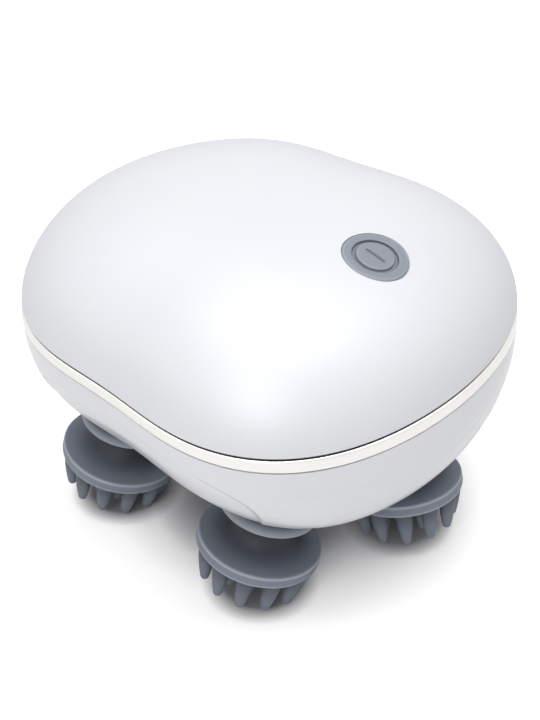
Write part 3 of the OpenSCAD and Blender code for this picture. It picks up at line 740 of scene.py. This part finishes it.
# panel places a painted shade line along each panel's outline, lip a painted highlight along the bottom lip
mark(pearl_housing, panel=np.where(z < LINE_TOP, edge, MIDDLE_OF_PANEL),
     lip=ease((LIP_TOP - z) / LIP_SOFT))
settle(sharpen(pearl_housing, 45), "housing", "housing_pearl", "lower_housing")
print("points near a panel's outline:", int((abs(edge - PANEL_LINE_AT) < PANEL_LINE_WIDTH).sum()))

# %% [markdown]
# ## The power button
# A silicone ring lies in the hole of the cover, with a round groove and a disc inside it that carries a
# sunken bar. A polar grid with its heights worked out point by point gives the groove and the bar the soft
# edges that moulded silicone has, which a sharp cut would not.

# %% A polar grid in the button's plane
RING_IN, CAP_R = 0.69 * BUTTON_R, 0.58 * BUTTON_R
BUTTON_STEPS = 160
to_button = Matrix.Translation(Vector(BUTTON_AT) * MM) @ Matrix.Rotation(BUTTON_LEAN, 4, "Y")


def crown(x, y):
    """Height of the dome over the button's own plane, so that the ring lies flush with the cover."""
    share = polar(BUTTON_X + x * math.cos(BUTTON_LEAN), y)[1]
    drop = dome_height(share) - dome_height(button_share)
    return (drop + x * math.sin(BUTTON_LEAN)) * math.cos(BUTTON_LEAN)


def button_grid(section):
    """One ring for each (radius, height) pair of a section."""
    turns = np.arange(BUTTON_STEPS) * 2 * math.pi / BUTTON_STEPS
    rings = []
    for r, h in section:
        x, y = r * np.cos(turns), r * np.sin(turns)
        rings.append(np.stack([x, y, crown(x, y) + h], -1))
    return rings


print("middle of the button:", BUTTON_AT.round(2), "mm")

# %% [markdown]
# The groove's walls, the bar, the disc's side and the web at the bottom of the groove are painted darker as
# shade. Highlights are painted a little paler along the upper edges of the ring and of the disc. The heads
# carry the same two numbers, throat and rim.

# %% The ring in the cover's hole
# strengths of the painted shade in the groove and of the painted highlight along the ring's upper edge
EDGE_IN, EDGE_HIGHLIGHT = 0.35, 0.45
GROOVE_PAINTED_SHADE, GROOVE_WALL, EDGE_HIGHLIGHT_WIDTH = 0.55, 0.08, 0.2
ring_section = [
    (RING_IN + 0.2, -3.0), (RING_IN + 0.02, -1.7), (RING_IN, -0.5), (RING_IN + 0.03, -0.2),
    (RING_IN + 0.12, -0.04), (RING_IN + 0.28, 0.05), (RING_IN + 0.8, 0.08), (RING_IN + 1.4, 0.08),
    (BUTTON_R - 0.6, 0.05), (BUTTON_R - 0.3, 0.0), (BUTTON_R - 0.1, -0.12), (BUTTON_R, -0.32),
    (BUTTON_R, -2.2), (BUTTON_R + 0.02, -3.0)]
button_ring_soft = piece(
    "button_ring_soft", *skin(button_grid(ring_section), closed=True), button_silicone, to_button)
x, y, _ = vertices_of(button_ring_soft, to_button)
r = np.hypot(x, y)
# painted shade on the groove's wall and a painted highlight along the ring's upper edge
mark(button_ring_soft, throat=GROOVE_PAINTED_SHADE * (r < RING_IN + GROOVE_WALL),
     rim=EDGE_HIGHLIGHT * soft_line(r - BUTTON_R + EDGE_IN, EDGE_HIGHLIGHT_WIDTH))
settle(button_ring_soft, "housing", "button_silicone", "button_ring")

# %% The disc with its sunken bar
BAR_LEN, BAR_W, BAR_DEPTH, BAR_SOFT = 5.4, 0.8, 0.42, 0.035
# strengths of the painted shade in the bar and on the disc's side, and of the painted highlight on its edge
BAR_PAINTED_SHADE, BAR_SHADE_SOFT = 0.62, 0.05
SIDE_PAINTED_SHADE, SIDE_WALL = 0.3, 0.04
DISC_EDGE_HIGHLIGHT, DISC_EDGE_HIGHLIGHT_WIDTH = 0.3, 0.15
EDGE_ROWS, FACE_ROWS = 6, 44

cap_section = [
    (CAP_R - 0.02, -1.7), (CAP_R, -1.2), (CAP_R, -0.35), (CAP_R - 0.05, -0.18), (CAP_R - 0.14, -0.07),
    (CAP_R - 0.28, -0.01), (CAP_R - 0.45, 0.02)]
cap_section += [(r, 0.03) for r in np.linspace(CAP_R - 0.6, 0.02, FACE_ROWS)]
cap_rings = button_grid(cap_section)
for ring in cap_rings[EDGE_ROWS:]:
    gap = stadium_distance(ring[:, 0], ring[:, 1], BAR_LEN, BAR_W)[0]
    ring[:, 2] -= BAR_DEPTH * sunken(gap, BAR_SOFT)
button_disc = piece("button_disc", *skin(cap_rings), button_silicone, to_button, close="cap")
x, y, _ = vertices_of(button_disc, to_button)
r, gap = np.hypot(x, y), stadium_distance(x, y, BAR_LEN, BAR_W)[0]
# painted shade in the bar and on the disc's side, and a painted highlight along the disc's upper edge
mark(button_disc, throat=BAR_PAINTED_SHADE * sunken(gap, BAR_SHADE_SOFT) + SIDE_PAINTED_SHADE * (r > CAP_R - SIDE_WALL),
     rim=DISC_EDGE_HIGHLIGHT * soft_line(r - CAP_R + EDGE_IN, DISC_EDGE_HIGHLIGHT_WIDTH))
settle(button_disc, "button", "button_silicone", "button_cap")

# %% The thin web at the bottom of the groove
WEB_PAINTED_SHADE = 0.3
web_section = [
    (CAP_R - 0.6, -1.0), (CAP_R + 0.1, -0.55), (CAP_R + 0.5, -0.5), (RING_IN + 0.1, -0.55),
    (RING_IN + 0.15, -1.2), (CAP_R - 0.6, -1.3)]
button_web = piece("button_web", *skin(button_grid(web_section), closed=True), button_silicone, to_button)
# painted shade over the whole web
mark(button_web, throat=WEB_PAINTED_SHADE, rim=0)
settle(button_web, "housing", "button_silicone")

# %% [markdown]
# ## The kneading heads
# Each head is one silicone moulding: a broad disc with a flat rim, a trumpet neck and a collar that meets
# the housing. Under the disc stand two rings of tapered fingers and one in the middle. The body is spun
# from a half section, and a Geometry Nodes tree sets the fingers, because they repeat around a circle.

# %% Half sections of the head and of one finger, measured down from the head's pivot
DISC_LOW, DISC_T, DISC_R, COLLAR_R, NECK_R = 42.0, 3.4, 16.0, 12.6, 7.0
COLLAR_LOW = DISC_LOW - 13.3
COLLAR_TOP = COLLAR_LOW - 7.9
BOSS_TOP = COLLAR_TOP - 1.4
NECK_LOW = DISC_LOW - 9.6
DISC_TOP = DISC_LOW - DISC_T
ALMOST_0 = 0.01
FINGER_LEN, FINGER_TIP, FINGER_BASE, FINGER_FLARE = 10.4, 1.2, 2.2, 0.9
TIP_RING, ROOT_RING, INNER_RING = 12.3, 13.3, 6.9
OUTER_FINGERS, INNER_FINGERS = 12, 8
HEAD_STEPS, FINGER_STEPS = 120, 20


def trumpet(r_from, r_to, z_from, z_to, steps=14):
    """A quarter of an oval: it leaves the neck upright and arrives flat under the rim."""
    return [(r_from + (r_to - r_from) * (1 - math.cos(a)), z_from + (z_to - z_from) * math.sin(a))
            for a in np.linspace(0, math.pi / 2, steps)]


def offsets(r, z, pairs):
    """Points given by how far they lie inside a radius and above a height."""
    return [(r - inset, z + up) for inset, up in pairs]


head_section = [(r, -DISC_LOW) for r in (ALMOST_0, 4.0, 9.0, 13.5)]
head_section += offsets(DISC_R, -DISC_LOW, (
    (0.7, 0), (0.45, 0.04), (0.24, 0.15), (0.1, 0.33), (0.03, 0.6), (0.03, 1.0)))
head_section += offsets(DISC_R, -DISC_TOP, (
    (0.06, -1.2), (0.08, -0.85), (0.1, -0.6), (0.18, -0.35), (0.34, -0.16), (0.6, -0.04), (0.85, -0.01)))
head_section += trumpet(NECK_R, DISC_R - 1.1, -NECK_LOW, -DISC_TOP)[::-1]
head_section += trumpet(NECK_R, COLLAR_R - 0.5, -NECK_LOW, -COLLAR_LOW)[1:]
head_section += offsets(COLLAR_R, -COLLAR_LOW, (
    (0.2, 0.05), (0.03, 0.2), (0, 0.5), (0.3, 3.2), (0.45, 3.6), (0.8, 4.1)))
head_section += offsets(COLLAR_R, -COLLAR_TOP, ((3.0, -0.85), (3.5, -0.3), (4.1, 0)))
head_section += [(6.2, -COLLAR_TOP), (5.7, -COLLAR_TOP + 0.2), (5.5, -COLLAR_TOP + 0.5)]
head_section += [(5.5, -BOSS_TOP - 0.15), (5.35, -BOSS_TOP), (ALMOST_0, -BOSS_TOP)]

finger_section = [(ALMOST_0, -FINGER_LEN)]
finger_section += [(FINGER_TIP * math.sin(a), -FINGER_LEN + FINGER_TIP * (1 - math.cos(a)))
                   for a in np.radians([20, 40, 60, 78])]
finger_section += [(FINGER_TIP + (FINGER_BASE - FINGER_TIP) * math.sin(t * math.pi / 2) ** FINGER_FLARE,
                    -FINGER_LEN + FINGER_TIP + (FINGER_LEN - FINGER_TIP - 0.5) * t)
                   for t in (0.12, 0.3, 0.5, 0.7, 0.88)]
finger_section += offsets(FINGER_BASE, 0, ((-0.03, -0.4), (-0.08, 0.1), (0.1, 0.9)))
finger = piece("finger_pattern", *lathe(finger_section, FINGER_STEPS), head_silicone, close="cap")


# %% The tree that sets the fingers
def finger_tree():
    tree = bpy.data.node_groups.new("set_fingers", "GeometryNodeTree")
    face = tree.interface
    face.new_socket("Geometry", in_out="INPUT", socket_type="NodeSocketGeometry")
    for label in ("Outer radius", "Inner radius", "Level", "Splay"):
        face.new_socket(label, in_out="INPUT", socket_type="NodeSocketFloat")
    for label in ("Outer count", "Inner count"):
        face.new_socket(label, in_out="INPUT", socket_type="NodeSocketInt")
    face.new_socket("Finger", in_out="INPUT", socket_type="NodeSocketObject")
    face.new_socket("Finish", in_out="INPUT", socket_type="NodeSocketMaterial")
    face.new_socket("Geometry", in_out="OUTPUT", socket_type="NodeSocketGeometry")
    net = Net(tree)
    given = tree.nodes.new("NodeGroupInput")
    take = {s.name: Socket(net, s) for s in given.outputs if s.name}
    shape = net.add("GeometryNodeObjectInfo", {}, {"Object": take["Finger"]}, output="Geometry")
    join = tree.nodes.new("GeometryNodeJoinGeometry")
    tree.links.new(take["Geometry"].socket, join.inputs[0])

    def ring(count, radius, turn, splay):
        circle = net.add("GeometryNodeMeshCircle", {}, {"Vertices": count, "Radius": radius})
        turned = net.add("GeometryNodeTransform", {}, {
            "Geometry": circle,
            "Translation": net.add("ShaderNodeCombineXYZ", {}, {2: take["Level"]}),
            "Rotation": (0, 0, turn),
        })
        place = net.add("GeometryNodeInputPosition")
        along = net.add("ShaderNodeSeparateXYZ", {}, {0: place}, output="X")
        across = Socket(net, along.socket.node.outputs["Y"])
        heading = across.maths("ARCTAN2", across, along)
        set_up = net.add("GeometryNodeInstanceOnPoints", {}, {
            "Points": turned, "Instance": shape,
            "Rotation": net.add("ShaderNodeCombineXYZ", {}, {1: splay, 2: heading}),
        })
        tree.links.new(set_up.socket, join.inputs[0])

    ring(take["Outer count"], take["Outer radius"], math.pi, take["Splay"])
    ring(take["Inner count"], take["Inner radius"], math.pi / INNER_FINGERS, 0.0)
    middle = net.add("GeometryNodeTransform", {}, {
        "Geometry": shape, "Translation": net.add("ShaderNodeCombineXYZ", {}, {2: take["Level"]})})
    tree.links.new(middle.socket, join.inputs[0])
    real = net.add("GeometryNodeRealizeInstances", {}, {"Geometry": Socket(net, join.outputs[0])})
    dressed = net.add("GeometryNodeSetMaterial", {}, {"Geometry": real, "Material": take["Finish"]})
    out = tree.nodes.new("NodeGroupOutput")
    tree.links.new(dressed.socket, out.inputs[0])
    return tree


# %% [markdown]
# Shade is painted into the silicone's colour: darker in the throat between disc and collar, on the collar
# and among the roots of the fingers. Highlights are painted paler along the two edges of the disc and the
# lower edge of the collar.

# %% Mark the painted shade of the throat and the painted highlights of the rims, for the silicone's finish
RIMS = (
    # radius and height of each edge
    (DISC_R - 0.1, -DISC_TOP - 0.45),
    (DISC_R - 0.1, -DISC_LOW + 0.33),
    (COLLAR_R - 0.02, -COLLAR_LOW + 0.3),
)
RIM_WIDTH = 0.3
SKIN_DEEP = 0.05
THROAT_OUT, THROAT_REACH, THROAT_LOW = 15.6, 7.5, 0.3
COLLAR_SHADE, COLLAR_MORE, COLLAR_FROM, COLLAR_RISE = 0.6, 0.3, 0.6, 4
TIP_SHADE, ROOT_MORE, ROOT_REACH = 0.15, 0.5, 7


def mark_silicone(thing):
    x, y, z = vertices_of(thing)
    r = np.hypot(x, y)
    rims = [soft_line(np.hypot(r - edge_r, z - edge_z), RIM_WIDTH) for edge_r, edge_z in RIMS]
    collar = COLLAR_SHADE + COLLAR_MORE * ease((z + COLLAR_LOW - COLLAR_FROM) / COLLAR_RISE)
    throat = ease((THROAT_OUT - r) / THROAT_REACH)
    root = TIP_SHADE + ROOT_MORE * ease((z + DISC_LOW + ROOT_REACH) / ROOT_REACH)
    above = [z >= -COLLAR_LOW - SKIN_DEEP, z > -DISC_TOP - THROAT_LOW, z >= -DISC_LOW - SKIN_DEEP]
    # throat carries painted shade for the collar, the throat and the finger roots; rim carries painted
    # highlights along the three edges
    mark(thing, throat=np.select(above, [collar, throat, 0 * r], root), rim=np.max(rims, axis=0))


# %% Make the four heads
LEAN = math.radians(12.7)
HUB_REACH, HUB_Y = 30.5, 18.0
HUB_X = math.sqrt(HUB_REACH ** 2 - HUB_Y ** 2)
STATIONS = {
    # which end, which side, direction of the lean and turn of the fingers in degrees
    "front": (1, -1, -124, 2),
    "left": (-1, -1, -148, -4),
    "right": (1, 1, -8, 15),
    "rear": (-1, 1, -32, 0),
}
SPLAY = math.atan((ROOT_RING - TIP_RING) / (FINGER_LEN - FINGER_TIP))
finger_end = (DISC_LOW + FINGER_LEN - FINGER_TIP) * math.cos(LEAN)
pivot_z = finger_end + TIP_RING * math.sin(LEAN) + FINGER_TIP
set_fingers = finger_tree()
for name, (side_x, side_y, way, turn) in STATIONS.items():
    head = piece(f"soft_head_{name}", *lathe(head_section, HEAD_STEPS), head_silicone, close="cap")
    run_tree(head, set_fingers, {
        "Outer radius": ROOT_RING * MM, "Inner radius": INNER_RING * MM, "Level": -DISC_LOW * MM,
        "Splay": SPLAY, "Outer count": OUTER_FINGERS, "Inner count": INNER_FINGERS,
        "Finger": finger, "Finish": head_silicone,
    })
    mark_silicone(head)
    hub = Vector((DRIVE_X + side_x * HUB_X, side_y * HUB_Y, pivot_z)) * MM
    head.data.transform(Matrix.Translation(hub) @ Matrix.Rotation(math.radians(way), 4, "Z")
                        @ Matrix.Rotation(-LEAN, 4, "Y") @ Matrix.Rotation(math.radians(turn), 4, "Z"))
    head.data.shade_smooth()
    settle(sharpen(head, 50), f"{name}_head", "head_silicone", f"head_{name}", f"finger_pad_{name}")
    print(head.name, "lowest point", round(vertices_of(head)[2].min(), 3), "mm")
bpy.data.objects.remove(finger)

# %% [markdown]
# ## Floor and light
# A pale floor in a white room. Shadow is painted into its colour under each head, where the fingers stand
# close together, and under the middle of the object. Away from the object the floor fades to the white of
# the room, like the sweep of paper in a studio. That white is a glow that only the camera sees, so it puts
# no light on the object. Closer in, a weaker glow of the same kind is held back near the middle, under the
# heads and a little to the camera's right of the middle, which leaves a painted shadow there.

# %% Floor
FOOT_OUT = 8.5
FEET = [Vector((DRIVE_X + side_x * HUB_X + FOOT_OUT * math.cos(math.radians(way)),
                side_y * HUB_Y + FOOT_OUT * math.sin(math.radians(way)), 0)) * MM
        for side_x, side_y, way, _ in STATIONS.values()]
FOOT_SHADE, FOOT_BLUR = 0.0155, 0.006
MIDDLE_SHADE, MIDDLE_BLUR = 0.030, 0.014
# the second colour is the painted shadow under the heads and the middle
FLOOR_PALE, FLOOR_PAINTED_SHADOW = (0.96, 0.958, 0.955, 1), (0.38, 0.38, 0.39, 1)
# centre of the painted shadow that the held-back glow leaves
PAINTED_SHADOW_CENTRE = (0.016, 0.014, 0)
LIFT, LIFT_FROM, LIFT_OVER, BEHIND_FROM, BEHIND_OVER = 0.42, 0.018, 0.022, 0.016, 0.034
WHITE_FROM, WHITE_OVER = 0.08, 0.25
FLOOR_HALF = 3000


def floor_material():
    material = bpy.data.materials.new("studio_floor")
    material.use_nodes = True
    tree = material.node_tree
    tree.nodes.clear()
    net = Net(tree)
    place = object_coordinates(net)

    def distance_to(point):
        points = {0: place, 1: point}
        return net.add("ShaderNodeVectorMath", {"operation": "DISTANCE"}, points, output="Value")

    def glow(strength):
        return net.add("ShaderNodeEmission", {}, {"Strength": strength})

    def mix(share, without, with_it):
        return net.add("ShaderNodeMixShader", {}, {0: share, 1: without, 2: with_it})

    away = distance_to((0, 0, 0))
    # painted contact shadow: the floor's colour darkens under the middle of the object and under each head
    painted_shadow = ((MIDDLE_SHADE - away) / MIDDLE_BLUR).clamp()
    for foot in FEET:
        painted_shadow = painted_shadow + ((FOOT_SHADE - distance_to(foot)) / FOOT_BLUR).clamp()
    painted_shadow = painted_shadow.clamp()
    colour = colour_mix(net, painted_shadow, FLOOR_PALE, FLOOR_PAINTED_SHADOW)
    diffuse = net.add("ShaderNodeBsdfDiffuse", {}, {"Color": colour})
    # the camera-only glow is held back near the middle, under the heads and around the shade centre, leaving
    # a painted shadow there
    lifted = ((away - LIFT_FROM) / LIFT_OVER).clamp() * (1 - painted_shadow)
    lifted = lifted * ((distance_to(PAINTED_SHADOW_CENTRE) - BEHIND_FROM) / BEHIND_OVER).clamp()
    near = mix(lifted, glow(0.0), glow(LIFT))
    whole = mix(((away - WHITE_FROM) / WHITE_OVER).clamp(), near, glow(1.0))
    seen = net.add("ShaderNodeLightPath", output="Is Camera Ray")
    both = net.add("ShaderNodeAddShader", {}, {0: diffuse, 1: mix(seen, glow(0.0), whole)})
    output = tree.nodes.new("ShaderNodeOutputMaterial")
    tree.links.new(both.socket, output.inputs["Surface"])
    return material


corners = [(x * FLOOR_HALF, y * FLOOR_HALF, 0) for x, y in ((-1, -1), (1, -1), (1, 1), (-1, 1))]
floor = piece("studio_floor", corners, [(0, 1, 2, 3)], floor_material())

# %% [markdown]
# The room is white to the camera and in reflections. As a source of light it is weak, so that the lamps
# shape the object.

# %% Room
ROOM_TINT, ROOM_LIGHT = (0.96, 0.975, 1.0, 1), 0.05
world = bpy.data.worlds.new("white_room")
bpy.context.scene.world = world
world.use_nodes = True
world.node_tree.nodes.clear()
room = Net(world.node_tree)
path = room.add("ShaderNodeLightPath")
camera_ray, glossy_ray, clear_ray = (
    Socket(room, path.socket.node.outputs[kind])
    for kind in ("Is Camera Ray", "Is Glossy Ray", "Is Transmission Ray"))
straight = (camera_ray + glossy_ray + clear_ray).clamp()
lit = room.add("ShaderNodeBackground", {}, {"Color": ROOM_TINT, "Strength": ROOM_LIGHT})
shown = room.add("ShaderNodeBackground", {}, {"Color": (1, 1, 1, 1), "Strength": 1.0})
mixed_world = room.add("ShaderNodeMixShader", {}, {0: straight, 1: lit, 2: shown})
world_out = world.node_tree.nodes.new("ShaderNodeOutputWorld")
world.node_tree.links.new(mixed_world.socket, world_out.inputs["Surface"])
print("room nodes:", len(world.node_tree.nodes))

# %% [markdown]
# Four soft lamps overhead make one broad, even highlight on the dome. Four more stand round the object, so
# that the wall is lit from every side, most of all from the camera's.

# %% Lamps
TOWARD_CAMERA = Vector((math.sin(AZIMUTH), -math.cos(AZIMUTH), 0))
TO_THE_RIGHT = Vector((math.cos(AZIMUTH), math.sin(AZIMUTH), 0))
LAMP_AIM = Vector((0, 0, 0.05))
LAMPS = (
    # name, towards the camera, to the right, height, size in metres, power in watts
    ("lamp_above_front", 0.6, 0.0, 2.0, 1.2, 6.0),
    ("lamp_above_right", 0.0, 0.7, 1.9, 1.2, 11.4),
    ("lamp_above_back", -0.7, 0.0, 2.0, 1.2, 8.0),
    ("lamp_above_left", 0.0, -0.7, 1.9, 1.2, 7.6),
    ("lamp_front", 1.4, -0.4, 1.1, 1.0, 11.8),
    ("lamp_right", 0.2, 1.6, 1.3, 1.0, 2.6),
    ("lamp_left", 0.2, -1.7, 0.9, 1.0, 1.8),
    ("lamp_back", -1.6, 0.0, 1.2, 1.0, 1.0),
)
for name, toward, right, height, size, power in LAMPS:
    data = bpy.data.lights.new(name, "AREA")
    data.shape = "SQUARE"
    data.size = size
    data.energy = power
    lamp = bpy.data.objects.new(name, data)
    lamp.location = TOWARD_CAMERA * toward + TO_THE_RIGHT * right + Vector((0, 0, height))
    lamp.rotation_euler = (lamp.location - LAMP_AIM).to_track_quat("Z", "Y").to_euler()
    bpy.context.scene.collection.objects.link(lamp)
print("lamps:", len(LAMPS), "with", round(sum(lamp[-1] for lamp in LAMPS), 1), "watts")

bpy.context.scene.view_settings.view_transform = "Standard"
